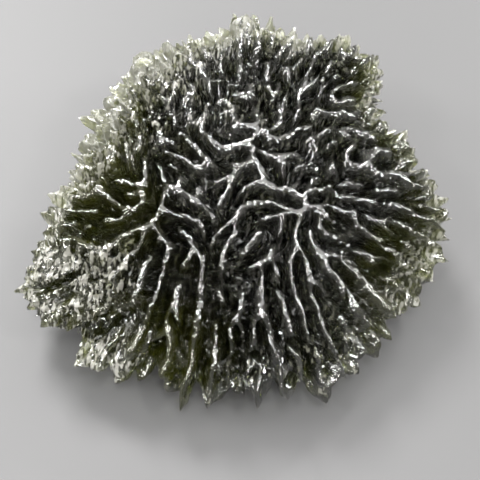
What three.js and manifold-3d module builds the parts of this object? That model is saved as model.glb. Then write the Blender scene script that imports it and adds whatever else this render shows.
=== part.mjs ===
// Moldavite of the spiny "hedgehog" kind: a flat, bun-shaped drop of green glass that ground water has etched into
// a maze of deep grooves with thin, sharp ridges between them. Millimetres, +Z up. The origin lies on the table,
// under the middle of the stone, and -Y is the stone's front.
//
// How the relief is made: points are scattered over a smooth body in short chains that run down its sides. A Delaunay
// mesh (the convex hull of the points' directions) joins them, and every triangle of it gets a ridge point in its
// middle. Some of its edges are the beds of grooves. Across each of the others runs a ridge, from the ridge point on
// one side to the ridge point on the other. Groove points sink below the body's skin and ridge points stand on it.
import * as THREE from "three";
import { ConvexHull } from "three/addons/math/ConvexHull.js";
import { SimplexNoise } from "three/addons/math/SimplexNoise.js";
import { mergeVertices } from "three/addons/utils/BufferGeometryUtils.js";
import Module from "manifold-3d";

// ---- Sizes of the smooth body ----
const MEAN_RADIUS = 20; // plan radius that the side profile below is drawn for
// Radius of the rim all the way round, anticlockwise from the stone's right.
const RIM_RADII = [18.8, 15.6, 18.7, 15.5, 15.5, 13.4, 13.5, 14.0, 14.6, 17.6, 23.2, 23.5, 23.8, 24.0, 21.9, 22.3];
const RIM_HEIGHT = 5.8; // the widest line of the body, above the table
const RIM_TILT = 2.1; // the rim is this much higher at the back, and lower at the front
const CROWN_HEIGHT = 14.0; // top of the smooth body
const SOLE_HEIGHT = -0.45; // underside of the smooth body, whose ridges are worn flat at the table
const CROWN_FULLNESS = 0.68; // 0.55 gives an elliptic dome, and more gives a fuller one
const SOLE_FULLNESS = 0.7;
// Swellings of the body, each along a line from one point to another, measured from the body's axis. A height below
// zero makes a hollow.
const SWELLINGS = [
  { from: [-10.6, -15.9, 8.6], to: [-18.8, -16.6, 4.8], reach: 2.1, height: 2.0 }, // tongue at the left of the front
  { from: [-12.4, -17.8, 6.4], to: [-15.2, -18.8, 4.2], reach: 1.8, height: 1.4 },
  { from: [-14.8, -20.8, 3.0], to: [-8.0, -19.2, 7.2], reach: 1.0, height: -3.6 }, // the cleft under it
  { from: [-12.2, -20.8, 4.2], to: [-8.2, -21.4, 4.8], reach: 1.7, height: 1.8 }, // and the lobe under that
  { from: [-2.0, 16.3, 9.6], to: [-0.8, 16.3, 9.6], reach: 1.5, height: 1.5 }, // knobs along the back
  { from: [-8.4, 11.6, 9.5], to: [-7.4, 12.2, 9.5], reach: 1.6, height: 1.0 },
  { from: [7.0, 15.0, 9.5], to: [9.0, 14.4, 9.0], reach: 2.0, height: 0.8 },
  { from: [16.4, 8.7, 7.0], to: [17.2, 8.8, 7.0], reach: 1.2, height: 2.2 }, // and spikes at the right
  { from: [17.8, 1.8, 6.6], to: [18.2, 1.8, 6.6], reach: 1.1, height: 1.6 },
  { from: [14.6, 5.0, 7.0], to: [13.4, 4.6, 9.0], reach: 1.5, height: -2.0 }, // with a notch between them
];
const KNOB_HEIGHT = 0.9; // the rim is knobbly all round
const KNOB_DETAIL = 4.2; // the higher, the smaller the knobs

// ---- Sizes of the relief ----
const GROOVE_SPACING = 1.07; // from one groove to the next on the crown
const RIM_SPACING = 1.3; // they are wider apart at the rim
const FRONT_SPACING = 1.35; // and most of all in the blades that hang over the front
const SOLE_SPACING = 2.15; // and the underside is etched more coarsely
const LOBE_SPACING = 1.0;
const GROOVE_DEPTH = 2.1;
const RIM_GROOVE_DEPTH = 2.2;
const FRONT_GROOVE_DEPTH = 1.55; // the edge of the stone is thinnest at the front
const KNOBBLY_GROOVE_DEPTH = 1.3; // shallower round the back and the left, where the rim is knobs more than blades
const KNOBBLY_STRAY = 0.9; // and the grooves wander there, by up to this angle at each step
const SOLE_GROOVE_DEPTH = 1.1;
const LOBE_GROOVE_DEPTH = 0.55;
const RIDGE_WAVE = 0.4; // ridges rise and fall by this much along their length
const RIDGE_JITTER = 0.18; // and each of their points by this much more
const JUNCTION_RISE = 0.3; // where three ridges meet
const FREE_END_DROP = 0.4; // where a ridge stops in the open
const RIM_TOOTH = 1.3; // and how far single ridges stick out at the rim
const FRONT_TOOTH = 1.7; // most of all at the tips of the blades at the front
const BLADE_TIP_BAND = 0.03; // these tips lie within about this much of the rim, as a share of the way down the profile
const HUMP_RISE = 0.3; // hump where grooves meet with no ridge between them
const EVENING_PASSES = 2;
const FOLD_MARGIN = 1e-5;
const PASS_SHARE = 0.1; // share of the ridges that are broken by a gap
const SHORT_PASS_SHARE = 0.22; // more of them at the back and the right, where the ridges are short
const WORN_SOLE_RADIUS = 2.4; // one worn flat under the middle, where the stone sits
const SEED = 12;

// Places on the crown, seen from above and measured from the body's axis, that grooves and ridges run out from.
const STARS = [new THREE.Vector2(7.3, -10.4), new THREE.Vector2(-7.3, -11.8), new THREE.Vector2(1.9, -2.5)];
const STAR_REACH = 6;
const CROWN_MIDDLE = new THREE.Vector2(0.5, -7.7);

// ---- Random numbers that are the same on every run ----
function seededRandom(seed) {
  let state = seed;
  return () => {
    state = (state + 0x6d2b79f5) | 0;
    let mixed = Math.imul(state ^ (state >>> 15), 1 | state);
    mixed = (mixed + Math.imul(mixed ^ (mixed >>> 7), 61 | mixed)) ^ mixed;
    return ((mixed ^ (mixed >>> 14)) >>> 0) / 4294967296;
  };
}
const random = seededRandom(SEED);
const noise = new SimplexNoise({ random });
const between = (low, high) => low + (high - low) * random();
const { lerp, smoothstep, euclideanModulo, radToDeg, clamp } = THREE.MathUtils;
const noiseAt = (direction, detail, offset) =>
  noise.noise3d(detail * direction.x + offset, detail * direction.y, detail * direction.z);

// ---- The smooth body ----
// Its side profile, from the top of the crown to the rim and on to the middle of the underside.
const crownProfile = new THREE.CubicBezierCurve(
  new THREE.Vector2(0, CROWN_HEIGHT),
  new THREE.Vector2(CROWN_FULLNESS * MEAN_RADIUS, CROWN_HEIGHT),
  new THREE.Vector2(MEAN_RADIUS, RIM_HEIGHT + CROWN_FULLNESS * (CROWN_HEIGHT - RIM_HEIGHT)),
  new THREE.Vector2(MEAN_RADIUS, RIM_HEIGHT),
);
const soleProfile = new THREE.CubicBezierCurve(
  new THREE.Vector2(MEAN_RADIUS, RIM_HEIGHT),
  new THREE.Vector2(MEAN_RADIUS, RIM_HEIGHT - SOLE_FULLNESS * (RIM_HEIGHT - SOLE_HEIGHT)),
  new THREE.Vector2(SOLE_FULLNESS * MEAN_RADIUS, SOLE_HEIGHT),
  new THREE.Vector2(0, SOLE_HEIGHT),
);
const profile = new THREE.CurvePath();
profile.add(crownProfile);
profile.add(soleProfile);
const RIM_SLOPE = crownProfile.getLength() / profile.getLength();

const outline = new THREE.CatmullRomCurve3(
  RIM_RADII.map((radius) => new THREE.Vector3(radius, 0, 0)),
  true,
);
const rimRadius = (azimuth) => outline.getPoint(euclideanModulo(azimuth / (2 * Math.PI), 1)).x;

// A direction from the middle of the body stands for a place on its skin: its angle from +Z is the way along the
// profile, so that the skin isn't stretched much, and its azimuth is the azimuth.
const slopeOf = (direction) => Math.acos(clamp(direction.z, -1, 1)) / Math.PI;
const swellings = SWELLINGS.map(({ from, to, reach, height }) => ({
  line: new THREE.Line3(new THREE.Vector3(...from), new THREE.Vector3(...to)),
  reach,
  height,
}));
function plainBody(direction) {
  const azimuth = Math.atan2(direction.y, direction.x);
  const place = profile.getPoint(slopeOf(direction));
  const outward = place.x / MEAN_RADIUS;
  const radius = outward * rimRadius(azimuth);
  const tilt = RIM_TILT * Math.sin(azimuth) * outward ** 2 * smoothstep(place.y, 0, RIM_HEIGHT);
  return new THREE.Vector3(radius * Math.cos(azimuth), radius * Math.sin(azimuth), place.y + tilt);
}
function skin(direction) {
  const point = plainBody(direction);
  let swell = KNOB_HEIGHT * nearRim(direction) * noiseAt(direction, KNOB_DETAIL, 31);
  for (const { line, reach, height } of swellings) {
    const away = line.closestPointToPoint(point, true, new THREE.Vector3()).distanceToSquared(point);
    swell += height * Math.exp(-away / reach ** 2);
  }
  return point.addScaledVector(direction, swell);
}

// The plain body's tangents down the slope and round the stone, in mm for each radian, and its outward normal.
const STEP = 1e-3;
function tangents(direction) {
  const round = new THREE.Vector3(-direction.y, direction.x, 0);
  if (round.lengthSq() < 1e-12) round.set(0, 1, 0);
  round.normalize();
  const down = new THREE.Vector3().crossVectors(round, direction).normalize();
  const along = (way) => {
    const ahead = plainBody(direction.clone().addScaledVector(way, STEP).normalize());
    const behind = plainBody(direction.clone().addScaledVector(way, -STEP).normalize());
    return ahead.sub(behind).divideScalar(2 * STEP);
  };
  const bodyDown = along(down);
  const bodyRound = along(round);
  const normal = new THREE.Vector3().crossVectors(bodyDown, bodyRound).normalize();
  return { down, round, mmDown: bodyDown.length(), mmRound: bodyRound.length(), normal };
}

// ---- How the etching changes over the stone ----
const onSole = (direction) => smoothstep(slopeOf(direction), RIM_SLOPE, RIM_SLOPE + 0.08);
const nearRim = (direction) => Math.exp(-(((slopeOf(direction) - RIM_SLOPE) / 0.11) ** 2));
function sector(direction, azimuthDegrees, halfWidthDegrees) {
  const azimuth = radToDeg(Math.atan2(direction.y, direction.x));
  const away = Math.abs(euclideanModulo(azimuth - azimuthDegrees + 180, 360) - 180);
  return 1 - smoothstep(away, 0.6 * halfWidthDegrees, halfWidthDegrees);
}
const onLobes = (direction) =>
  sector(direction, 233, 24) * smoothstep(slopeOf(direction), 0.33, 0.4) * (1 - onSole(direction));
const atRim = (direction) => smoothstep(slopeOf(direction), 0.4, RIM_SLOPE);
const atFront = (direction) => sector(direction, 278, 48) * smoothstep(slopeOf(direction), 0.36, RIM_SLOPE);
const isKnobbly = (direction) => sector(direction, 115, 95) * nearRim(direction);
const isBladeTip = (direction) =>
  sector(direction, 280, 50) * Math.exp(-(((slopeOf(direction) - RIM_SLOPE) / BLADE_TIP_BAND) ** 2));

const passShare = (direction) => lerp(PASS_SHARE, SHORT_PASS_SHARE, sector(direction, 45, 90));

function spacing(direction) {
  let width = lerp(GROOVE_SPACING, RIM_SPACING, atRim(direction));
  width = lerp(width, FRONT_SPACING, atFront(direction));
  width = lerp(width, LOBE_SPACING, onLobes(direction));
  width = lerp(width, SOLE_SPACING, onSole(direction));
  return width * (1 + 0.27 * noiseAt(direction, 3.5, 0));
}
function grooveDepth(direction) {
  let depth = lerp(GROOVE_DEPTH, RIM_GROOVE_DEPTH, nearRim(direction));
  depth = lerp(depth, FRONT_GROOVE_DEPTH, sector(direction, 275, 60) * nearRim(direction));
  depth = lerp(depth, KNOBBLY_GROOVE_DEPTH, isKnobbly(direction));
  depth = lerp(depth, LOBE_GROOVE_DEPTH, onLobes(direction));
  depth = lerp(depth, SOLE_GROOVE_DEPTH, onSole(direction));
  return depth * (1 + 0.15 * noiseAt(direction, 3, 5));
}

// The way grooves run, as an angle from straight down the slope. They run out from the stars on the crown, straight
// down the sides, and wander a little everywhere.
function grooveTurn(direction) {
  const steadiness = smoothstep(slopeOf(direction), 0.16, 0.4) * (1 - isKnobbly(direction));
  const wander = lerp(1.0, 0.35, steadiness) * noiseAt(direction, 3.4, 9);
  const place = skin(direction);
  const plan = new THREE.Vector2(place.x, place.y);
  const way = plan.clone().sub(CROWN_MIDDLE).divideScalar(12);
  for (const star of STARS) {
    const fromStar = plan.clone().sub(star);
    const pull = Math.exp(-fromStar.lengthSq() / STAR_REACH ** 2);
    way.addScaledVector(fromStar.normalize(), pull);
  }
  const azimuth = Math.atan2(direction.y, direction.x);
  const starTurn = euclideanModulo(way.angle() - azimuth + Math.PI, 2 * Math.PI) - Math.PI;
  return wander + starTurn * (1 - smoothstep(slopeOf(direction), 0.38, RIM_SLOPE));
}

// ---- Scattering the grooves ----
function randomDirection() {
  const z = between(-1, 1);
  const azimuth = between(0, 2 * Math.PI);
  const flat = Math.sqrt(1 - z * z);
  return new THREE.Vector3(flat * Math.cos(azimuth), flat * Math.sin(azimuth), z);
}
function walk(direction, turn, distance) {
  const { down, round, mmDown, mmRound } = tangents(direction);
  return direction
    .clone()
    .addScaledVector(down, (Math.cos(turn) * distance) / mmDown)
    .addScaledVector(round, (Math.sin(turn) * distance) / mmRound)
    .normalize();
}
function grooveFrom(start, mostPoints) {
  const points = [start];
  for (let i = 1; i < mostPoints; i++) {
    const last = points[i - 1];
    const stray = lerp(0.45, 0.15, smoothstep(slopeOf(last), 0.12, 0.36)) + KNOBBLY_STRAY * isKnobbly(last);
    points.push(walk(last, grooveTurn(last) + between(-stray, stray), 1.12 * spacing(last)));
  }
  return points;
}
// Long grooves are laid first, and shorter ones fill the room that is left.
const ROUNDS = [
  { tries: 2400, most: 7, fewest: 4 },
  { tries: 3600, most: 4, fewest: 3 },
  { tries: 5200, most: 3, fewest: 2 },
  { tries: 9000, most: 1, fewest: 1 },
];
function scatterGrooves() {
  const grooves = [];
  const taken = [];
  const isClear = (point) => {
    const place = skin(point);
    const room = spacing(point);
    return taken.every((other) => other.place.distanceTo(place) > Math.max(room, 0.9 * other.room));
  };
  for (const { tries, most, fewest } of ROUNDS) {
    for (let i = 0; i < tries; i++) {
      const points = [];
      for (const point of grooveFrom(randomDirection(), most)) {
        if (!isClear(point)) break;
        points.push(point);
      }
      if (points.length < fewest) continue;
      grooves.push(points);
      for (const point of points) taken.push({ place: skin(point), room: spacing(point) });
    }
  }
  return grooves;
}

// ---- Joining grooves and ridges into one closed surface ----
function hullCorners(directions) {
  const points = directions.map((direction) => direction.clone());
  const indexOf = new Map(points.map((point, i) => [point, i]));
  return new ConvexHull().setFromPoints(points).faces.map((face) => {
    const found = [];
    let edge = face.edge;
    do {
      found.push(indexOf.get(edge.head().point));
      edge = edge.next;
    } while (edge !== face.edge);
    return found;
  });
}

const edgeKey = (a, b) => `${Math.min(a, b)},${Math.max(a, b)}`;
function reliefGeometry() {
  const grooves = scatterGrooves();
  const beds = [];
  const bedEdges = new Set();
  const ends = [];
  grooves.forEach((points, groove) => {
    points.forEach((direction, i) => {
      const place = skin(direction);
      const isWorn = direction.z < 0 && Math.hypot(place.x, place.y) < WORN_SOLE_RADIUS;
      if (i > 0) bedEdges.add(edgeKey(beds.length - 1, beds.length));
      if (i === points.length - 1) ends.push(beds.length);
      beds.push({ direction, place, groove, height: isWorn ? RIDGE_WAVE : -grooveDepth(direction) });
    });
  });

  const corners = hullCorners(beds.map((bed) => bed.direction));
  const neighbours = beds.map(() => new Set());
  const faceAcross = new Map();
  corners.forEach((found, face) => {
    found.forEach((a, i) => {
      const b = found[(i + 1) % 3];
      faceAcross.set(`${a},${b}`, face);
      neighbours[a].add(b);
      neighbours[b].add(a);
    });
  });

  // Each groove runs on into the one that lies best ahead of its lower end, and a few ridges are broken by gaps.
  for (const end of ends) {
    const { direction, place, groove } = beds[end];
    const { down, round, mmDown, mmRound } = tangents(direction);
    const turn = grooveTurn(direction);
    const ahead = direction
      .clone()
      .addScaledVector(down, (Math.cos(turn) * 0.2) / mmDown)
      .addScaledVector(round, (Math.sin(turn) * 0.2) / mmRound)
      .normalize();
    const way = skin(ahead).sub(place).normalize();
    let best = -1;
    let bestFit = 0.5;
    for (const other of neighbours[end]) {
      if (beds[other].groove === groove) continue;
      const fit = beds[other].place.clone().sub(place).normalize().dot(way);
      if (fit > bestFit) {
        best = other;
        bestFit = fit;
      }
    }
    if (best >= 0) bedEdges.add(edgeKey(end, best));
  }
  for (const key of faceAcross.keys()) {
    const [a, b] = key.split(",").map(Number);
    if (a < b && random() < passShare(beds[a].direction)) bedEdges.add(edgeKey(a, b));
  }

  // The ridge point of each triangle, drawn towards the corner that stands alone across the ridge.
  const ridges = corners.map((found) => {
    const isBed = found.map((a, i) => bedEdges.has(edgeKey(a, found[(i + 1) % 3])));
    const weights = [1, 1, 1];
    if (isBed.filter(Boolean).length === 1) weights[(isBed.indexOf(true) + 2) % 3] = 1.8;
    const direction = new THREE.Vector3();
    found.forEach((a, i) => direction.addScaledVector(beds[a].direction, weights[i]));
    return { direction: direction.normalize() };
  });
  const crossings = [];
  for (const [key, near] of faceAcross) {
    const [a, b] = key.split(",").map(Number);
    if (a < b) crossings.push({ a, b, near, far: faceAcross.get(`${b},${a}`) });
  }
  const turns = (p, q, r) => new THREE.Vector3().crossVectors(q, r).dot(p) > FOLD_MARGIN;
  const isFlat = ({ a, b, near, far }) =>
    turns(beds[a].direction, ridges[far].direction, ridges[near].direction) &&
    turns(beds[b].direction, ridges[near].direction, ridges[far].direction);
  for (const crossing of crossings) if (!isFlat(crossing)) bedEdges.add(edgeKey(crossing.a, crossing.b));

  // Ridges are evened out along their length, wherever that folds nothing over.
  const around = ridges.map(() => []);
  for (const crossing of crossings) {
    around[crossing.near].push({ crossing, other: crossing.far });
    around[crossing.far].push({ crossing, other: crossing.near });
  }
  const isSound = (face) => {
    const centre = ridges[face].direction;
    return around[face].every(({ crossing }) => {
      const { a, b, near } = crossing;
      if (!bedEdges.has(edgeKey(a, b))) return isFlat(crossing);
      const [first, second] = near === face ? [a, b] : [b, a];
      return turns(beds[first].direction, beds[second].direction, centre);
    });
  };
  for (let pass = 0; pass < EVENING_PASSES; pass++) {
    ridges.forEach((ridge, face) => {
      const next = around[face].filter(({ crossing: { a, b } }) => !bedEdges.has(edgeKey(a, b)));
      if (next.length < 2) return;
      const mean = new THREE.Vector3();
      for (const { other } of next) mean.addScaledVector(ridges[other].direction, 1 / next.length);
      const before = ridge.direction;
      ridge.direction = before.clone().lerp(mean, 0.35).normalize();
      if (!isSound(face)) ridge.direction = before;
    });
  }
  ridges.forEach((ridge, face) => {
    const { direction } = ridge;
    const ridgesMet = around[face].filter(({ crossing: { a, b } }) => !bedEdges.has(edgeKey(a, b))).length;
    if (ridgesMet === 0) {
      ridge.height = Math.max(...corners[face].map((a) => beds[a].height)) + HUMP_RISE;
      return;
    }
    const rise = [0, -FREE_END_DROP, 0, JUNCTION_RISE][ridgesMet];
    const wave = RIDGE_WAVE * noiseAt(direction, 6, 20) + RIDGE_JITTER * between(-1, 1);
    const reach = lerp(RIM_TOOTH * (random() ** 2.5 - 0.15), FRONT_TOOTH * random(), isBladeTip(direction));
    ridge.height = rise + wave + reach * nearRim(direction) * (1 - onLobes(direction));
  });

  const vertices = [...beds, ...ridges].map(({ direction, height }) =>
    skin(direction).addScaledVector(tangents(direction).normal, height),
  );
  const triangles = [];
  for (const { a, b, near, far } of crossings) {
    const [c, d] = [beds.length + near, beds.length + far];
    if (bedEdges.has(edgeKey(a, b))) triangles.push(a, b, c, b, a, d);
    else triangles.push(a, d, c, b, c, d);
  }
  const geometry = new THREE.BufferGeometry().setFromPoints(vertices);
  geometry.setIndex(triangles);
  return geometry;
}

// ---- Cutting off what lies under the table ----
const wasm = await Module();
wasm.setup();
function solidOf(geometry) {
  const plain = geometry.clone();
  plain.deleteAttribute("normal");
  plain.deleteAttribute("uv");
  const merged = mergeVertices(plain, 1e-5);
  return new wasm.Manifold(
    new wasm.Mesh({
      numProp: 3,
      vertProperties: new Float32Array(merged.attributes.position.array),
      triVerts: new Uint32Array(merged.index.array),
    }),
  );
}
function geometryOf(solid) {
  const mesh = solid.getMesh();
  const geometry = new THREE.BufferGeometry();
  geometry.setAttribute("position", new THREE.BufferAttribute(new Float32Array(mesh.vertProperties), 3));
  geometry.setIndex(new THREE.BufferAttribute(new Uint32Array(mesh.triVerts), 1));
  return geometry;
}

const CUT_SIDE = 4 * MEAN_RADIUS;
const CUT_DEPTH = 10;
const belowTable = new THREE.BoxGeometry(CUT_SIDE, CUT_SIDE, CUT_DEPTH).translate(0, 0, -CUT_DEPTH / 2);
const stoneSolid = solidOf(reliefGeometry()).subtract(solidOf(belowTable));

const stoneGeometry = geometryOf(stoneSolid);
stoneGeometry.computeBoundingBox();
const middle = stoneGeometry.boundingBox.getCenter(new THREE.Vector3());
stoneGeometry.translate(-middle.x, -middle.y, 0);
stoneGeometry.computeVertexNormals();

const glass = new THREE.MeshStandardMaterial({ color: 0x1b2412, roughness: 0.12, metalness: 0 });
const moldavite = new THREE.Mesh(stoneGeometry, glass);
moldavite.name = "moldavite";

const stone = new THREE.Group();
stone.add(moldavite);
export default stone;
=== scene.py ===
"""Moldavite of the spiny kind: its looks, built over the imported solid."""

import math
from types import SimpleNamespace

import bpy
import numpy as np
from mathutils import Matrix, Vector, noise


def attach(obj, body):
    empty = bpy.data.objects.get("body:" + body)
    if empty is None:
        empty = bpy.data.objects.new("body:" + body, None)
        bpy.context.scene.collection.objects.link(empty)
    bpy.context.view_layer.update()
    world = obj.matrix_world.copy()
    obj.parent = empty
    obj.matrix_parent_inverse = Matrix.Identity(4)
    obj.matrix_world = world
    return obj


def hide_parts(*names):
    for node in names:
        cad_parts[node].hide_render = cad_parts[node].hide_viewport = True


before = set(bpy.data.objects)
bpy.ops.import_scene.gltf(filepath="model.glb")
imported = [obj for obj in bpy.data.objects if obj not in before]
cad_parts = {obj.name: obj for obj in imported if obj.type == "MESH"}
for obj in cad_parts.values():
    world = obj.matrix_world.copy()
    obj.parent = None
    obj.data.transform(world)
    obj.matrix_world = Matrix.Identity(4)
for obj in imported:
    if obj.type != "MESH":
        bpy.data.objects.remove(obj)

bl_info = {
    "name": "Moldavite",
    "version": (1, 0, 0),
    "blender": (4, 5, 0),
    "location": "View3D > Sidebar > Moldavite",
    "description": "Builds a spiny moldavite and the plain stage it is shown on",
    "category": "Object",
}

MM = 0.001


# ---- Settings ----
class StoneSettings(bpy.types.PropertyGroup):
    """Sizes of the fine relief"""

    crease: bpy.props.FloatProperty(
        name="Ridge crease", description="How sharp the tops of the ridges stay", default=1.0, min=0, max=1
    )
    bed_edge: bpy.props.FloatProperty(
        name="Bed edge", description="Where the bed of a groove ends, on the way from its middle to a ridge",
        default=0.3, min=0, max=1,
    )
    crest_edge: bpy.props.FloatProperty(
        name="Crest edge", description="Where the round top of a ridge begins on the same way",
        default=0.85, min=0, max=1,
    )
    fill: bpy.props.FloatProperty(
        name="Fill", description="How far the beds are raised, as a share of the grooves' depth",
        default=0.3, min=0, max=1,
    )
    low_ridges: bpy.props.FloatProperty(
        name="Low ridges", description="Height of the low ridges along the beds, as a share of the depth",
        default=0.6, min=0, max=1,
    )
    scales: bpy.props.FloatProperty(
        name="Scales", description="Height of the small bumps in the grooves", default=0.6 * MM, unit="LENGTH"
    )
    serration: bpy.props.FloatProperty(
        name="Serration", description="Height of the small teeth along the ridges",
        default=0.22 * MM, unit="LENGTH",
    )
    smooth_above: bpy.props.FloatProperty(
        name="Smooth above", description="How far up their walls the ridges are smooth",
        default=0.55, min=0, max=1,
    )
    flutes: bpy.props.FloatProperty(
        name="Flutes", description="Height of the fine ribs down the front", default=0.9 * MM, unit="LENGTH"
    )
    notches: bpy.props.FloatProperty(
        name="Notches", description="Depth of the notches cut in the front edge",
        default=1.5 * MM, unit="LENGTH",
    )
    knobs: bpy.props.FloatProperty(
        name="Knobs", description="Height of the small knobs on etched skin, and of the flakes of the crust",
        default=0.5 * MM, unit="LENGTH",
    )
    domes: bpy.props.FloatProperty(
        name="Domes", description="Height of the rounded lumps of the back rim",
        default=1.4 * MM, unit="LENGTH",
    )
    pits: bpy.props.FloatProperty(
        name="Pits", description="Depth of the bare pits in the pale skin", default=1.0 * MM, unit="LENGTH"
    )
    tongue: bpy.props.FloatProperty(
        name="Tongue", description="How far the tip of the tongue is drawn out",
        default=1.2 * MM, unit="LENGTH",
    )


class GlassSettings(bpy.types.PropertyGroup):
    """Optical values of the glass"""

    refraction: bpy.props.FloatProperty(name="Refractive index", description="Of moldavite", default=1.49)
    lustre: bpy.props.FloatProperty(
        name="Lustre", description="Refractive index of the clear coat, which sets how bright the shine is",
        default=1.6,
    )
    roughness: bpy.props.FloatProperty(name="Roughness", description="Of the polished glass", default=0.07)
    absorption: bpy.props.FloatProperty(
        name="Absorption", description="Density of the volume, which sets how quickly light is lost in it",
        default=2400.0,
    )
    tint: bpy.props.FloatVectorProperty(
        name="Tint", description="Colour that thick glass passes", subtype="COLOR",
        default=(0.67, 0.70, 0.22), min=0, max=1,
    )
    skin_color: bpy.props.FloatVectorProperty(
        name="Skin colour", description="Of the pale, etched skin", subtype="COLOR",
        default=(0.56, 0.55, 0.49), min=0, max=1,
    )
    # Olive and glow: the colour and strength of a painted glow, standing in for light coming up through thin
    # glass.
    olive: bpy.props.FloatVectorProperty(
        name="Olive", description="Of the light scattered in thin glass", subtype="COLOR",
        default=(0.12, 0.127, 0.012), min=0, max=1,
    )
    glow: bpy.props.FloatProperty(
        name="Glow", description="How much light thin glass scatters", default=0.26, min=0, max=1
    )
    # A painted grey sheen on the ridges, standing in for the light that their tops reflect.
    ridge_sheen: bpy.props.FloatProperty(
        name="Haze", description="How much of the glass a thin grey haze hides on the ridges",
        default=0.06, min=0, max=1,
    )
    skin_cover: bpy.props.FloatProperty(
        name="Skin cover", description="How much of the glass the pale skin hides", default=0.72, min=0, max=1
    )
    etch: bpy.props.FloatProperty(
        name="Etch depth", description="Depth of the finest pits", default=0.14 * MM, unit="LENGTH"
    )


class StageSettings(bpy.types.PropertyGroup):
    """Floor, light and camera"""

    floor_color: bpy.props.FloatVectorProperty(
        name="Floor colour", description="Of the plain floor", subtype="COLOR",
        default=(0.068, 0.067, 0.067), min=0, max=1,
    )
    sky_strength: bpy.props.FloatProperty(
        name="Sky strength", description="Light that comes from all round", default=0.45
    )
    elevation: bpy.props.FloatProperty(
        name="Camera elevation", description="Angle above the horizon",
        default=math.radians(56), unit="ROTATION",
    )
    roll: bpy.props.FloatProperty(
        name="Camera roll", description="Turn about the line of sight",
        default=math.radians(5.9), unit="ROTATION",
    )
    distance: bpy.props.FloatProperty(
        name="Camera distance", description="From the point looked at", default=89.2 * MM, unit="LENGTH"
    )
    lens: bpy.props.FloatProperty(
        name="Lens", description="Focal length in mm on a 36 mm sensor", default=70.4
    )
    target: bpy.props.FloatVectorProperty(
        name="Target", description="Point looked at", default=(-0.51 * MM, -4.4 * MM, 5.3 * MM), unit="LENGTH"
    )


# ---- Shader maths ----
def feed(slot, value):
    """Links a socket to a node's output, or sets it to a plain number, colour or vector."""
    if isinstance(value, Value):
        value.tree.links.new(value.socket, slot)
    else:
        slot.default_value = value


class Value:
    """A node's output, which Python's operators turn into Math nodes."""

    def __init__(self, tree, socket):
        self.tree = tree
        self.socket = socket

    def math(self, operation, *values):
        made = self.tree.nodes.new("ShaderNodeMath")
        made.operation = operation
        for slot, value in zip(made.inputs, values):
            feed(slot, value)
        return Value(self.tree, made.outputs[0])

    def __add__(self, other):
        return self.math("ADD", self, other)

    def __radd__(self, other):
        return self.math("ADD", other, self)

    def __sub__(self, other):
        return self.math("SUBTRACT", self, other)

    def __rsub__(self, other):
        return self.math("SUBTRACT", other, self)

    def __mul__(self, other):
        return self.math("MULTIPLY", self, other)

    def __rmul__(self, other):
        return self.math("MULTIPLY", other, self)

    def at_least(self, other):
        return self.math("MAXIMUM", self, other)

    def at_most(self, other):
        return self.math("MINIMUM", self, other)


class Shader:
    """A new material's node tree."""

    def __init__(self, name):
        self.material = bpy.data.materials.new(name)
        self.material.use_nodes = True
        self.tree = self.material.node_tree
        self.tree.nodes.clear()

    def node(self, kind, settings=None, sockets=None):
        """A new node: its settings first, then the value or the link of each socket, by name or number."""
        made = self.tree.nodes.new(kind)
        for name, value in (settings or {}).items():
            setattr(made, name, value)
        for name, value in (sockets or {}).items():
            feed(made.inputs[name], value)
        return made

    def value(self, made, output=0):
        return Value(self.tree, made.outputs[output])

    def attribute(self, name):
        """The number that the mesh keeps for each point under this name."""
        return self.value(self.node("ShaderNodeAttribute", {"attribute_name": name}), "Fac")


# ---- The glass ----
# The fine grain of the skin and the streaks down the front, in cells of noise per metre.
GRAIN_SCALE = 2300.0
STREAK_SCALES = (3600.0, 1100.0, 900.0)

# The pale skin lies in flakes, where grain and streaks together pass a level that falls on etched skin.
FLAKE_GRAIN = 0.5
FLAKE_LEVEL = 0.84
FLAKE_LEVEL_FALL = 0.16
FLAKE_CONTRAST = 9.0
# The share of the flakes that is there: by etching, on thick glass, and lost on the lumps of the back rim.
SKIN_ON_ETCHED = 3.0
# On thick glass the pale flakes are partly painted sheen, which lifts the dark beds of the crown.
SKIN_AND_SHEEN_ON_THICK = 0.35
SKIN_LOST_ON_LUMPS = 0.35
# How rough the skin is, and how much light goes through it.
SKIN_ROUGHNESS = 0.3
SKIN_CLEARNESS = 0.5

# Shares of the painted glow: what only the ridges have, and what the crust hides.
RIDGE_GLOW = 0.5
CRUST_SHADE = 0.8
# How soon the painted scattered light turns from grey to olive as the glass gets thin.
OLIVE_ONSET = 5.0

# How strongly the grain dents the ridges, and what beds and etched skin add to that.
RIDGE_GRAIN = 0.12
BED_GRAIN = 0.35
ETCHED_GRAIN = 0.8

GLASS_COLOR = (0.95, 0.97, 0.9, 1.0)
# What etching adds to the roughness of the glass.
ETCHED_ROUGHNESS = 0.12

# Sockets by number: the two colours and the result of a Mix node, and the two shaders of a Mix Shader.
MIX_FROM = 6
MIX_TO = 7
MIX_RESULT = 2
SHADER_FROM = 1
SHADER_TO = 2


def skin_noises(shader):
    """The grain and the streaks of the skin."""
    place = shader.value(shader.node("ShaderNodeTexCoord"), "Object")
    stretched = shader.value(shader.node("ShaderNodeMapping", {}, {"Vector": place, "Scale": STREAK_SCALES}))
    streaks = shader.node("ShaderNodeTexNoise", {}, {"Vector": stretched, "Scale": 1.0, "Detail": 2.0})
    grain = shader.node(
        "ShaderNodeTexNoise", {}, {"Vector": place, "Scale": GRAIN_SCALE, "Detail": 3.0, "Roughness": 0.6}
    )
    return shader.value(grain, "Fac"), shader.value(streaks, "Fac")


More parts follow.
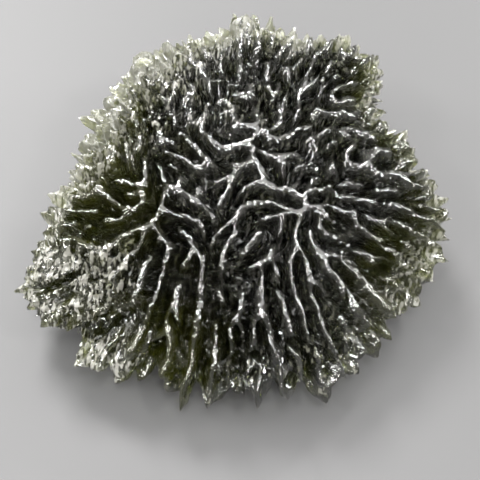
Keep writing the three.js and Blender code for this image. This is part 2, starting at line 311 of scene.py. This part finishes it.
def glass_material(settings):
    """Dark green glass: pale where etched, painted olive glow where thin, painted grey sheen on the ridges.
    """
    shader = Shader("moldavite_glass")
    grain, streaks = skin_noises(shader)
    ridge = shader.attribute("ridge")
    etched = shader.attribute("etched")
    thin = shader.attribute("thin")

    flakes = (FLAKE_GRAIN * grain + streaks - FLAKE_LEVEL + FLAKE_LEVEL_FALL * etched) * FLAKE_CONTRAST
    skin = flakes.at_least(0.0).at_most(1.0)
    skin *= (etched * SKIN_ON_ETCHED + SKIN_AND_SHEEN_ON_THICK * (1.0 - thin)).at_most(1.0)
    skin *= 1.0 - SKIN_LOST_ON_LUMPS * shader.attribute("knobbly")
    # Painted glow: olive light put where the glass is thin, more on the ridges and less under the crust.
    lit = settings.glow * thin * (1.0 - RIDGE_GLOW + RIDGE_GLOW * ridge)
    lit *= 1.0 - CRUST_SHADE * shader.attribute("crusty")
    # Where the pale layer shows: the skin, the painted glow, and a painted grey sheen on the ridges.
    skin_glow_and_sheen_share = (settings.skin_cover * skin).at_least(lit).at_least(settings.ridge_sheen * ridge * ridge)

    # Its colour: olive for the painted glow of thin glass, pale for the skin and the painted sheen.
    scattered = shader.node("ShaderNodeMix", {"data_type": "RGBA"}, {
        "Factor": skin.at_least(1.0 - OLIVE_ONSET * thin),
        MIX_FROM: (*settings.olive, 1.0),
        MIX_TO: (*settings.skin_color, 1.0),
    })
    dents = grain * (RIDGE_GRAIN + BED_GRAIN * (1.0 - ridge) + ETCHED_GRAIN * etched)
    height = dents + streaks * shader.attribute("draped")
    bump = shader.node("ShaderNodeBump", {}, {"Strength": 1.0, "Distance": settings.etch, "Height": height})
    surface = {
        "IOR": settings.refraction,
        "Coat Weight": 1.0,
        "Coat Roughness": settings.roughness,
        "Coat IOR": settings.lustre,
        "Normal": shader.value(bump),
    }
    glass = shader.node("ShaderNodeBsdfPrincipled", {}, {
        "Base Color": GLASS_COLOR,
        "Roughness": settings.roughness + ETCHED_ROUGHNESS * etched,
        "Transmission Weight": 1.0,
        **surface,
    })
    skin_glow_and_sheen = shader.node("ShaderNodeBsdfPrincipled", {}, {
        "Base Color": shader.value(scattered, MIX_RESULT),
        "Roughness": SKIN_ROUGHNESS,
        "Transmission Weight": SKIN_CLEARNESS,
        **surface,
    })
    skinned = shader.node("ShaderNodeMixShader", {}, {
        "Fac": skin_glow_and_sheen_share,
        SHADER_FROM: shader.value(glass),
        SHADER_TO: shader.value(skin_glow_and_sheen),
    })
    depth = shader.node("ShaderNodeVolumeAbsorption", {}, {
        "Color": (*settings.tint, 1.0),
        "Density": settings.absorption,
    })
    shader.node("ShaderNodeOutputMaterial", {}, {
        "Surface": shader.value(skinned),
        "Volume": shader.value(depth),
    })
    return shader.material


# ---- Mesh sums ----
def vertex_vectors(mesh, field):
    """A vector of each point: its place, "co", or its normal, "normal"."""
    flat = np.empty(3 * len(mesh.vertices))
    mesh.vertices.foreach_get(field, flat)
    return flat.reshape(-1, 3)


def edge_ends(mesh):
    """The two points of each edge."""
    flat = np.empty(2 * len(mesh.edges), dtype=np.int64)
    mesh.edges.foreach_get("vertices", flat)
    return flat.reshape(-1, 2)


def neighbour_mean(values, ends):
    """The mean over the neighbours of each point, of numbers or of vectors."""
    total = np.zeros_like(values)
    count = np.zeros(len(values))
    for a, b in ((0, 1), (1, 0)):
        np.add.at(total, ends[:, a], values[ends[:, b]])
        np.add.at(count, ends[:, a], 1)
    return (total.T / count).T


def write_attribute(mesh, name, values):
    """Keeps a number or a vector for each point of the mesh."""
    kind, field = ("FLOAT_VECTOR", "vector") if values.ndim == 2 else ("FLOAT", "value")
    attribute = mesh.attributes.new(name, kind, "POINT")
    attribute.data.foreach_set(field, np.ascontiguousarray(values, dtype=np.float32).ravel())


def read_attribute(mesh, name):
    """The number or the vector kept for each point of the mesh."""
    attribute = mesh.attributes[name]
    width, field = (3, "vector") if attribute.data_type == "FLOAT_VECTOR" else (1, "value")
    flat = np.empty(width * len(mesh.vertices), dtype=np.float32)
    attribute.data.foreach_get(field, flat)
    return flat.reshape(-1, 3).astype(float) if width == 3 else flat.astype(float)


def smooth_step(values, low, high):
    """0 up to the low value and 1 from the high one, with a smooth rise between."""
    share = np.clip((values - low) / (high - low), 0, 1)
    return share * share * (3 - 2 * share)


def noise_at(places, scale=1, shift=(0, 0, 0)):
    """Noise between about -1 and 1 at each place, with this many cells per unit of length."""
    return np.array([noise.noise(Vector(place) * scale + Vector(shift)) for place in places])


# ---- Parts of the skin ----
# Sectors of the stone, in degrees: the bearing of the middle, how far round it they are full, and their end.
DRAPED_FRONT = (-82, 38, 60)
THICK_FRONT = (-72, 12, 40)
THIN_LEFT = (190, 25, 50)
BACK_LEFT = (125, 45, 75)

# Where each share starts and is full, as the steepness of the skin: 0 is level and 1 is upright.
RIM_STEEPNESS = (0.6, 0.95)
DRAPED_STEEPNESS = (0.3, 0.7)
THIN_STEEPNESS = (0.3, 0.85)
# What the back adds to the steepness for the rim, and the left for thin glass and its painted glow.
BACK_STEEPNESS = 0.4
LEFT_STEEPNESS = 0.25

# The back takes in this much of the left, and is full from this share of facing it.
LEFT_OF_BACK = 0.6
BACK_FULL = 0.5

# How pale the rim is, how much less its front, and the share that the skin keeps low down.
RIM_ETCH = 0.85
FRONT_ETCH_LOSS = 0.7
LOW_ETCH = 0.25
# The skin counts as low by how it faces down, and more so at the back.
BACK_FACES_LOW = 0.5
LOW_TO_HIGH = (-0.45, 0.05)
# How pale the round knobs are, and where that starts to fade and ends, in radii.
KNOB_ETCH = 1.5
KNOB_ETCH_FADES = 1.2
KNOB_ETCH_ENDS = 2

# How much less painted glow comes up through the thick front and through the bare pits.
FRONT_SHADE = 0.9
PIT_SHADE = 0.7

# Places at the left of the front, each as both ends of a line and how far it reaches round the line, in mm.
PALE_LINES = (
    ((-12.0, -11.8, 9.0), (-20.5, -12.6, 5.0), 3.4),
    ((-14.0, -16.6, 4.4), (-10.2, -17.4, 4.8), 2.1),
)
BARE_LINES = (
    ((-15.6, -15.5, 4.6), (-12.8, -15.1, 4.6), 1.5),
    ((-12.8, -15.1, 4.6), (-9.6, -15.5, 8.0), 1.2),
    ((-17.4, -13.9, 7.9), (-17.0, -13.9, 7.9), 1.3),
    ((-15.3, -13.1, 9.1), (-14.9, -13.0, 9.1), 1.1),
    ((-12.8, -13.6, 9.0), (-12.4, -13.0, 9.4), 0.7),
)
# The part of the reach in which a line's share is full.
LINE_FULL = 0.6

# The round knobs along the back: a place on the skin and the radius of each, in mm.
KNOBS = (
    ((-2.3, 16.4, 12.2), 1.4),
    ((-11.3, 11.2, 10.9), 1.4),
    ((-8.7, 12.7, 11.9), 1.2),
    ((-5.2, 13.8, 12.5), 1.0),
    ((0.9, 16.2, 12.5), 0.9),
    ((-13.6, 6.5, 10.0), 1.1),
)


def sector_share(places, sector):
    """1 in the middle of a sector and 0 beyond its end."""
    middle, full, end = sector
    bearing = np.degrees(np.arctan2(places[:, 1], places[:, 0]))
    return 1 - smooth_step(np.abs((bearing - middle + 180) % 360 - 180), full, end)


def line_share(places, lines):
    """1 on some lines and 0 beyond their reach."""
    share = np.zeros(len(places))
    for start, end, reach in lines:
        start = MM * np.array(start)
        way = MM * np.array(end) - start
        along = np.clip((places - start) @ way / (way @ way), 0, 1)
        away = np.linalg.norm(places - start - along[:, None] * way, axis=1)
        share = np.maximum(share, 1 - smooth_step(away, LINE_FULL * reach * MM, reach * MM))
    return share


def steepness(normals):
    """0 where the skin is level and 1 where it is upright."""
    return np.linalg.norm(normals[:, :2], axis=1)


def back_share(normals):
    """1 where the skin faces the back or the left, and 0 where it faces the front or the right."""
    return smooth_step(normals[:, 1] - LEFT_OF_BACK * normals[:, 0], 0, BACK_FULL)


def rim_share(normals):
    """1 at the rim and 0 on the crown: the rim reaches further up at the back and the left."""
    return smooth_step(steepness(normals) + BACK_STEEPNESS * back_share(normals), *RIM_STEEPNESS)


def draped_share(places, normals):
    """How much the skin is drawn out into streaks down the front."""
    return sector_share(places, DRAPED_FRONT) * smooth_step(steepness(normals), *DRAPED_STEEPNESS)


def crusty_share(places):
    """The silvery crust at the left of the front, but for its pits."""
    return line_share(places, PALE_LINES) * (1 - line_share(places, BARE_LINES))


def etched_share(places, normals):
    """How pale the skin is: most on the round knobs, the crust and the upper rim, and least on the crown."""
    share = rim_share(normals) * (RIM_ETCH - FRONT_ETCH_LOSS * draped_share(places, normals))
    share += sector_share(places, BACK_LEFT) * back_share(normals)
    high = smooth_step(normals[:, 2] - BACK_FACES_LOW * normals[:, 1], *LOW_TO_HIGH)
    share *= LOW_ETCH + (1 - LOW_ETCH) * high
    share *= 1 - line_share(places, BARE_LINES)
    for spot, radius in KNOBS:
        away = np.linalg.norm(places - MM * np.array(spot), axis=1)
        beyond = smooth_step(away, KNOB_ETCH_FADES * radius * MM, KNOB_ETCH_ENDS * radius * MM)
        share = np.maximum(share, KNOB_ETCH * (1 - beyond))
    return np.maximum(share, crusty_share(places))


def thin_glow_share(places, normals):
    """Painted glow, as light up through the stone: most on steep skin and at the left, least at the front."""
    steep = steepness(normals) + LEFT_STEEPNESS * sector_share(places, THIN_LEFT)
    share = smooth_step(steep, *THIN_STEEPNESS) * (1 - FRONT_SHADE * sector_share(places, THICK_FRONT))
    return share * (1 - PIT_SHADE * line_share(places, BARE_LINES))


def knobbly_share(places, normals):
    """Where the rim is rounded lumps, not spikes: at the back and its left."""
    return sector_share(places, BACK_LEFT) * rim_share(normals)


# ---- Ridges and grooves ----
# How often the ways out and the depths are evened out over their neighbours.
NORMAL_ROUNDS = 6
DEPTH_ROUNDS = 2
# Points below this height rest on the table.
ON_TABLE = 0.001 * MM
# The tips of the ridges are creased from this share of the rim on, and less where the skin is draped.
TIP_RIM = 0.3
DRAPED_TIP_LOSS = 0.8


def smoothed_normals(mesh, ends):
    """The way out of the stone at each point, evened out over its neighbours."""
    normals = vertex_vectors(mesh, "normal")
    for _ in range(NORMAL_ROUNDS):
        normals = normals + neighbour_mean(normals, ends)
        normals /= np.linalg.norm(normals, axis=1, keepdims=True)
    return normals


def ridge_points(places, normals, ends):
    """1 for points that stand out from their neighbours or rest on the table, and 0 for the others."""
    rise = np.einsum("ij,ij->i", places - neighbour_mean(places, ends), normals)
    return ((rise > 0) | (places[:, 2] < ON_TABLE)).astype(float)


def groove_depth(places, normals, ends, ridge):
    """How far it is down from ridge to bed round each point, evened out over its neighbours."""
    across = ridge[ends[:, 0]] != ridge[ends[:, 1]]
    fall = np.abs(np.einsum("ij,ij->i", places[ends[:, 0]] - places[ends[:, 1]], normals[ends].mean(axis=1)))
    depth = np.zeros(len(places))
    count = np.zeros(len(places))
    for end in (0, 1):
        np.add.at(depth, ends[across, end], fall[across])
        np.add.at(count, ends[across, end], 1)
    depth /= np.maximum(count, 1)
    for _ in range(DEPTH_ROUNDS):
        depth = 0.5 * depth + 0.5 * neighbour_mean(depth, ends)
    return depth


def crease_ridges(mesh, crease, ends, normals):
    """Creases the edges between ridge points and the free tips of the ridges, but not the rounded lumps."""
    ridge = read_attribute(mesh, "ridge")
    blunt = read_attribute(mesh, "knobbly")
    both = ridge[ends[:, 0]] * ridge[ends[:, 1]]
    creases = mesh.attributes.new("crease_edge", "FLOAT", "EDGE")
    creases.data.foreach_set("value", (crease * both * (1 - blunt[ends].mean(axis=1))).astype(np.float32))
    ridge_edges = np.bincount(ends[both > 0].ravel(), minlength=len(ridge))
    tips = ridge * (ridge_edges < 2) * (rim_share(normals) > TIP_RIM)
    sharp = crease * tips * (1 - blunt) * (1 - DRAPED_TIP_LOSS * read_attribute(mesh, "draped"))
    write_attribute(mesh, "crease_vert", sharp)


def mark_skin(mesh, crease):
    """Tells ridges from grooves, keeps each point's kind of skin and painted glow, and creases the ridges."""
    places = vertex_vectors(mesh, "co")
    ends = edge_ends(mesh)
    normals = smoothed_normals(mesh, ends)
    ridge = ridge_points(places, normals, ends)
    write_attribute(mesh, "depth", groove_depth(places, normals, ends, ridge))
    write_attribute(mesh, "ridge", ridge)
    write_attribute(mesh, "outward", normals)
    write_attribute(mesh, "etched", etched_share(places, normals))
    write_attribute(mesh, "draped", draped_share(places, normals))
    write_attribute(mesh, "rim", rim_share(normals))
    write_attribute(mesh, "thin", thin_glow_share(places, normals))
    write_attribute(mesh, "bare", line_share(places, BARE_LINES))
    write_attribute(mesh, "crusty", crusty_share(places))
    write_attribute(mesh, "knobbly", knobbly_share(places, normals))
    crease_ridges(mesh, crease, ends, normals)


# ---- The relief ----
# Cells of noise per metre: low ridges, bumps in the grooves, teeth, small knobs, flakes and lumps.
LOW_RIDGE_SCALE = 550
BUMP_SCALE = 1900
TEETH_SCALE = 1100
KNOB_SCALE = 1400
FLAKE_SCALES = Vector((2900, 1300, 1100))
LUMP_SCALE = 650
# The ribs and the notches of the front go by the way round the stone, taken at this radius.
FRONT_RADIUS = 20 * MM
FLUTE_SCALES = (1300, 250, 250)
NOTCH_SCALE = 300
# Starts of the noises, which keep them apart.
LOW_RIDGE_START = (3, 8, 1)
KNOB_START = (7, 3, 5)
NOTCH_START = (0, 0.7, 0.3)

# How much thicker ridges stay on the draped rim, and how much less the walls are reshaped at any rim.
DRAPED_THICKENING = 0.3
RIM_WALL_LOSS = 0.65
# Levels of noise between which a low ridge rises, and where the bed that it stands on ends.
LOW_RIDGE_RISE = (-0.15, 0.1)
LOW_RIDGE_BED = 0.3
# The top of a bump in the grooves, and how steeply it falls away.
BUMP_TOP = 0.4
BUMP_FALL = 2
# How wide a notch is, as a level of noise. Then how far the teeth between stand out, and more on ridges.
NOTCH_WIDTH = 0.16
TOOTH_RISE = 0.2
RIDGE_TOOTH_RISE = 0.3
# Lumps rise within this distance of their middles, in cells.
LUMP_REACH = 0.75

# Round knobs, in radii: the skin that one starts from, where it is full, where it ends, how far it rises, and
# how far its middle is raised.
KNOB_SKIN = 1.2
KNOB_FULL = 0.8
KNOB_ENDS = 1.8
KNOB_RISE = 0.8
KNOB_MIDDLE_RISE = 0.4
# How near to a ball a knob comes, and how much of the other relief it loses.
KNOB_ROUNDNESS = 0.92
KNOB_CALM = 0.8

# The tip of the tongue, and how far round it the skin is drawn out, in mm.
TONGUE_TIP = (-19.4, -13.8, 6.8)
TONGUE_REACH = 2.6
# The skin has no relief below this height.
RELIEF_FLOOR = 0.02 * MM


def read_skin(mesh):
    """The places of the points, the way out at each, and what was kept for them."""
    skin = SimpleNamespace(places=vertex_vectors(mesh, "co"))
    for name in ("ridge", "depth", "rim", "draped", "etched", "crusty", "knobbly", "bare", "outward"):
        setattr(skin, name, read_attribute(mesh, name))
    skin.ridge = np.clip(skin.ridge, 0, 1)
    skin.outward /= np.linalg.norm(skin.outward, axis=1, keepdims=True)
    return skin


def groove_relief(skin, settings):
    """Thin ridges with small teeth, and flat, raised beds with bumps and low, broken ridges."""
    bed = 1 - skin.ridge
    crown = 1 - skin.rim
    crest_edge = settings.crest_edge - DRAPED_THICKENING * skin.rim * skin.draped
    wall = smooth_step(skin.ridge, settings.bed_edge, crest_edge) - skin.ridge
    height = skin.depth * (wall * (1 - RIM_WALL_LOSS * skin.rim) + settings.fill * bed * crown)
    broken = smooth_step(noise_at(skin.places, LOW_RIDGE_SCALE, LOW_RIDGE_START), *LOW_RIDGE_RISE)
    low = broken * (1 - smooth_step(skin.ridge, 0, LOW_RIDGE_BED)) * crown
    height += settings.low_ridges * skin.depth * low
    bumps = BUMP_TOP - BUMP_FALL * np.abs(noise_at(skin.places, BUMP_SCALE))
    height += settings.scales * bumps * bed
    return height + settings.serration * noise_at(skin.places, TEETH_SCALE) * skin.ridge**2


def front_relief(skin, settings):
    """Fine ribs down the front, and notches cut in its edge."""
    around = FRONT_RADIUS * np.arctan2(skin.places[:, 1], skin.places[:, 0])
    flutes = noise_at(np.stack([around, *skin.places[:, 1:].T], axis=1) * FLUTE_SCALES)
    waves = noise_at(np.outer(around, (NOTCH_SCALE, 0, 0)), shift=NOTCH_START)
    cuts = 1 - smooth_step(np.abs(waves), 0, NOTCH_WIDTH)
    teeth = TOOTH_RISE + RIDGE_TOOTH_RISE * skin.ridge - cuts
    ribs = settings.flutes * flutes * (1 - skin.ridge) * skin.draped
    return ribs + settings.notches * teeth * skin.rim * skin.draped


def skin_relief(skin, settings):
    """Small knobs on etched skin, flakes and pits on the crust, and rounded lumps on the back rim."""
    knobs = noise_at(skin.places, KNOB_SCALE, KNOB_START) * skin.etched * (1 - skin.crusty)
    flakes = noise_at(skin.places, FLAKE_SCALES) * skin.crusty
    nearest = np.array([noise.voronoi(Vector(place) * LUMP_SCALE)[0][0] for place in skin.places])
    lumps = settings.domes * (LUMP_REACH - nearest) * skin.knobbly
    return settings.knobs * (knobs + flakes) + lumps - settings.pits * skin.bare


def round_knobs(places, outward):
    """How the skin moves where it swells into round knobs, and the share of a knob that each point has."""
    moves = np.zeros_like(places)
    inside = np.zeros(len(places))
    for spot, radius in KNOBS:
        reach = radius * MM
        near = np.linalg.norm(places - MM * np.array(spot), axis=1) < KNOB_SKIN * reach
        heart = places[near].mean(axis=0)
        lift = outward[near].mean(axis=0)
        share = 1 - smooth_step(np.linalg.norm(places - heart, axis=1), KNOB_FULL * reach, KNOB_ENDS * reach)
        raised = (KNOB_RISE * reach * share)[:, None] * lift
        away = places + raised - (heart + KNOB_MIDDLE_RISE * reach * lift)
        distance = np.linalg.norm(away, axis=1)
        moves += raised + (KNOB_ROUNDNESS * share * (reach / distance - 1))[:, None] * away
        inside = np.maximum(inside, share)
    return moves, inside


def carve(mesh, settings):
    """Gives the skin its relief, its round knobs and the tip of the tongue, and keeps it above the table."""
    skin = read_skin(mesh)
    height = groove_relief(skin, settings) + front_relief(skin, settings) + skin_relief(skin, settings)
    moves, inside = round_knobs(skin.places, skin.outward)
    height *= 1 - KNOB_CALM * inside
    places = skin.places + moves
    from_tip = np.linalg.norm(places - MM * np.array(TONGUE_TIP), axis=1)
    places[:, 0] -= settings.tongue * (1 - smooth_step(from_tip, 0, TONGUE_REACH * MM))
    free = places[:, 2] > RELIEF_FLOOR
    places[free] += skin.outward[free] * height[free, None]
    places[:, 2] = np.maximum(places[:, 2], 0)
    mesh.vertices.foreach_set("co", places.ravel())
    mesh.update()


# ---- The stone ----
# Corners nearer than this are one.
WELD = 0.0005 * MM
PACKED_SHADING = ("custom_normal", "sharp_face", "sharp_edge")
SUBDIVISIONS = 2
# Skin with this much etching is flat-faced.
FACETED_ETCH = 0.5


def merged_copy(node, name):
    """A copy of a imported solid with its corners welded."""
    piece = bpy.data.objects.new(name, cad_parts[node].data.copy())
    bpy.context.scene.collection.objects.link(piece)
    bpy.ops.object.select_all(action="DESELECT")
    piece.select_set(True)
    bpy.context.view_layer.objects.active = piece
    bpy.ops.object.mode_set(mode="EDIT")
    bpy.ops.mesh.select_all(action="SELECT")
    bpy.ops.mesh.remove_doubles(threshold=WELD)
    bpy.ops.mesh.normals_make_consistent(inside=False)
    bpy.ops.object.mode_set(mode="OBJECT")
    attributes = piece.data.attributes
    for shading in [attribute.name for attribute in attributes if attribute.name in PACKED_SHADING]:
        attributes.remove(attributes[shading])
    return piece


def facet_walls(mesh, smooth_above):
    """Makes beds, lower walls and etched skin flat-faced, and ridges smooth, on a mesh all of quads."""
    corners = np.empty(4 * len(mesh.polygons), dtype=np.int64)
    mesh.polygons.foreach_get("vertices", corners)
    ridge = read_attribute(mesh, "ridge")[corners].reshape(-1, 4).mean(axis=1)
    etched = read_attribute(mesh, "etched")[corners].reshape(-1, 4).mean(axis=1)
    mesh.polygons.foreach_set("use_smooth", (ridge > smooth_above) & (etched < FACETED_ETCH))
    mesh.update()


class MOLDAVITE_OT_stone(bpy.types.Operator):
    """Builds the stone"""

    bl_idname = "moldavite.stone"
    bl_label = "Stone"

    def execute(self, context):
        settings = context.scene.moldavite_stone
        stone = merged_copy("moldavite", "stone")
        mark_skin(stone.data, settings.crease)
        subdivision = stone.modifiers.new("Smooth", "SUBSURF")
        subdivision.levels = SUBDIVISIONS
        subdivision.render_levels = SUBDIVISIONS
        bpy.ops.object.modifier_apply(modifier="Smooth")
        carve(stone.data, settings)
        facet_walls(stone.data, settings.smooth_above)
        stone.data.materials.clear()
        stone.data.materials.append(glass_material(context.scene.moldavite_glass))
        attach(stone, "root")
        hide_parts("moldavite")
        return {"FINISHED"}


# ---- The stage ----
# Sizes are in metres, but for the width of the camera's sensor, which is in mm.
FLOOR_SIZE = 4
FLOOR_ROUGHNESS = 0.6
SKY_COLOR = (1.0, 0.99, 0.96, 1.0)
SENSOR_WIDTH = 36
NEAREST_SEEN = 5 * MM
LIGHT_DISTANCE = 0.5
# Soft lights: name, azimuth and elevation in degrees, width and height in metres, and radiance.
LIGHTS = (
    ("overhead", 90, 75, (0.7, 0.7), 2.5),
    ("front_left_strip", 238, 32, (0.03, 0.40), 32),
    ("front_right_strip", 300, 32, (0.03, 0.40), 42),
    ("window", 124, 48, (0.15, 0.14), 70),
    ("left_strip", 180, 28, (0.10, 0.34), 20),
    ("right_strip", 10, 26, (0.08, 0.30), 23),
    ("top", 275, 72, (0.08, 0.08), 50),
    ("left_lamp", 205, 48, (0.05, 0.05), 125),
    ("right_lamp", 335, 52, (0.05, 0.05), 125),
    ("back_lamp", 60, 35, (0.05, 0.05), 125),
)


def build_floor(context, settings):
    """A plain floor on the table plane."""
    bpy.ops.mesh.primitive_plane_add(size=FLOOR_SIZE)
    floor = context.active_object
    floor.name = "floor"
    shader = Shader("floor")
    paint = shader.node("ShaderNodeBsdfPrincipled", {}, {
        "Base Color": (*settings.floor_color, 1), "Roughness": FLOOR_ROUGHNESS,
    })
    shader.node("ShaderNodeOutputMaterial", {}, {"Surface": shader.value(paint)})
    floor.data.materials.append(shader.material)


def build_sky(context, settings):
    """Even light from all round."""
    world = bpy.data.worlds.new("studio")
    context.scene.world = world
    world.use_nodes = True
    sky = world.node_tree.nodes["Background"]
    sky.inputs["Color"].default_value = SKY_COLOR
    sky.inputs["Strength"].default_value = settings.sky_strength


def soft_light(name, azimuth, elevation, size, radiance):
    """A square-cornered soft light that faces the stone from a direction given in degrees."""
    bearing = math.radians(azimuth)
    rise = math.radians(elevation)
    toward = Vector((math.cos(rise) * math.cos(bearing), math.cos(rise) * math.sin(bearing), math.sin(rise)))
    bpy.ops.object.light_add(type="AREA", location=LIGHT_DISTANCE * toward)
    lamp = bpy.context.active_object
    lamp.name = name
    lamp.rotation_euler = toward.to_track_quat("Z", "Y").to_euler()
    lamp.data.shape = "RECTANGLE"
    lamp.data.size, lamp.data.size_y = size
    lamp.data.energy = radiance * math.pi * size[0] * size[1]


def build_camera(context, settings):
    """A camera in front of the stone and above it, turned a little about its line of sight."""
    camera_data = bpy.data.cameras.new("camera")
    camera_data.sensor_width = SENSOR_WIDTH
    camera_data.lens = settings.lens
    camera_data.clip_start = NEAREST_SEEN
    camera = bpy.data.objects.new("camera", camera_data)
    context.scene.collection.objects.link(camera)
    back = Vector((0, -math.cos(settings.elevation), math.sin(settings.elevation)))
    level_right = Vector((1, 0, 0))
    level_up = back.cross(level_right)
    right = math.cos(settings.roll) * level_right + math.sin(settings.roll) * level_up
    turn = Matrix((right, back.cross(right), back)).transposed().to_4x4()
    camera.matrix_world = Matrix.Translation(Vector(settings.target) + settings.distance * back) @ turn
    context.scene.camera = camera
    context.scene.view_settings.view_transform = "Standard"


class MOLDAVITE_OT_stage(bpy.types.Operator):
    """Builds the floor, the lights and the camera"""

    bl_idname = "moldavite.stage"
    bl_label = "Stage"

    def execute(self, context):
        settings = context.scene.moldavite_stage
        build_floor(context, settings)
        build_sky(context, settings)
        for light in LIGHTS:
            soft_light(*light)
        build_camera(context, settings)
        return {"FINISHED"}


class MOLDAVITE_PT_panel(bpy.types.Panel):
    """Moldavite tools"""

    bl_idname = "MOLDAVITE_PT_panel"
    bl_label = "Moldavite"
    bl_space_type = "VIEW_3D"
    bl_region_type = "UI"
    bl_category = "Moldavite"

    def draw(self, context):
        for group in GROUPS:
            settings = getattr(context.scene, group)
            box = self.layout.box()
            for name in settings.__annotations__:
                box.prop(settings, name)
        self.layout.operator("moldavite.stone")
        self.layout.operator("moldavite.stage")


GROUPS = {
    "moldavite_stone": StoneSettings,
    "moldavite_glass": GlassSettings,
    "moldavite_stage": StageSettings,
}
CLASSES = (*GROUPS.values(), MOLDAVITE_OT_stone, MOLDAVITE_OT_stage, MOLDAVITE_PT_panel)


def register():
    for cls in CLASSES:
        bpy.utils.register_class(cls)
    for name, group in GROUPS.items():
        setattr(bpy.types.Scene, name, bpy.props.PointerProperty(type=group))


def unregister():
    for name in GROUPS:
        delattr(bpy.types.Scene, name)
    for cls in reversed(CLASSES):
        bpy.utils.unregister_class(cls)


def main():
    register()
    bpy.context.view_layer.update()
    bpy.ops.moldavite.stone()
    bpy.ops.moldavite.stage()


if __name__ == "__main__":
    main()
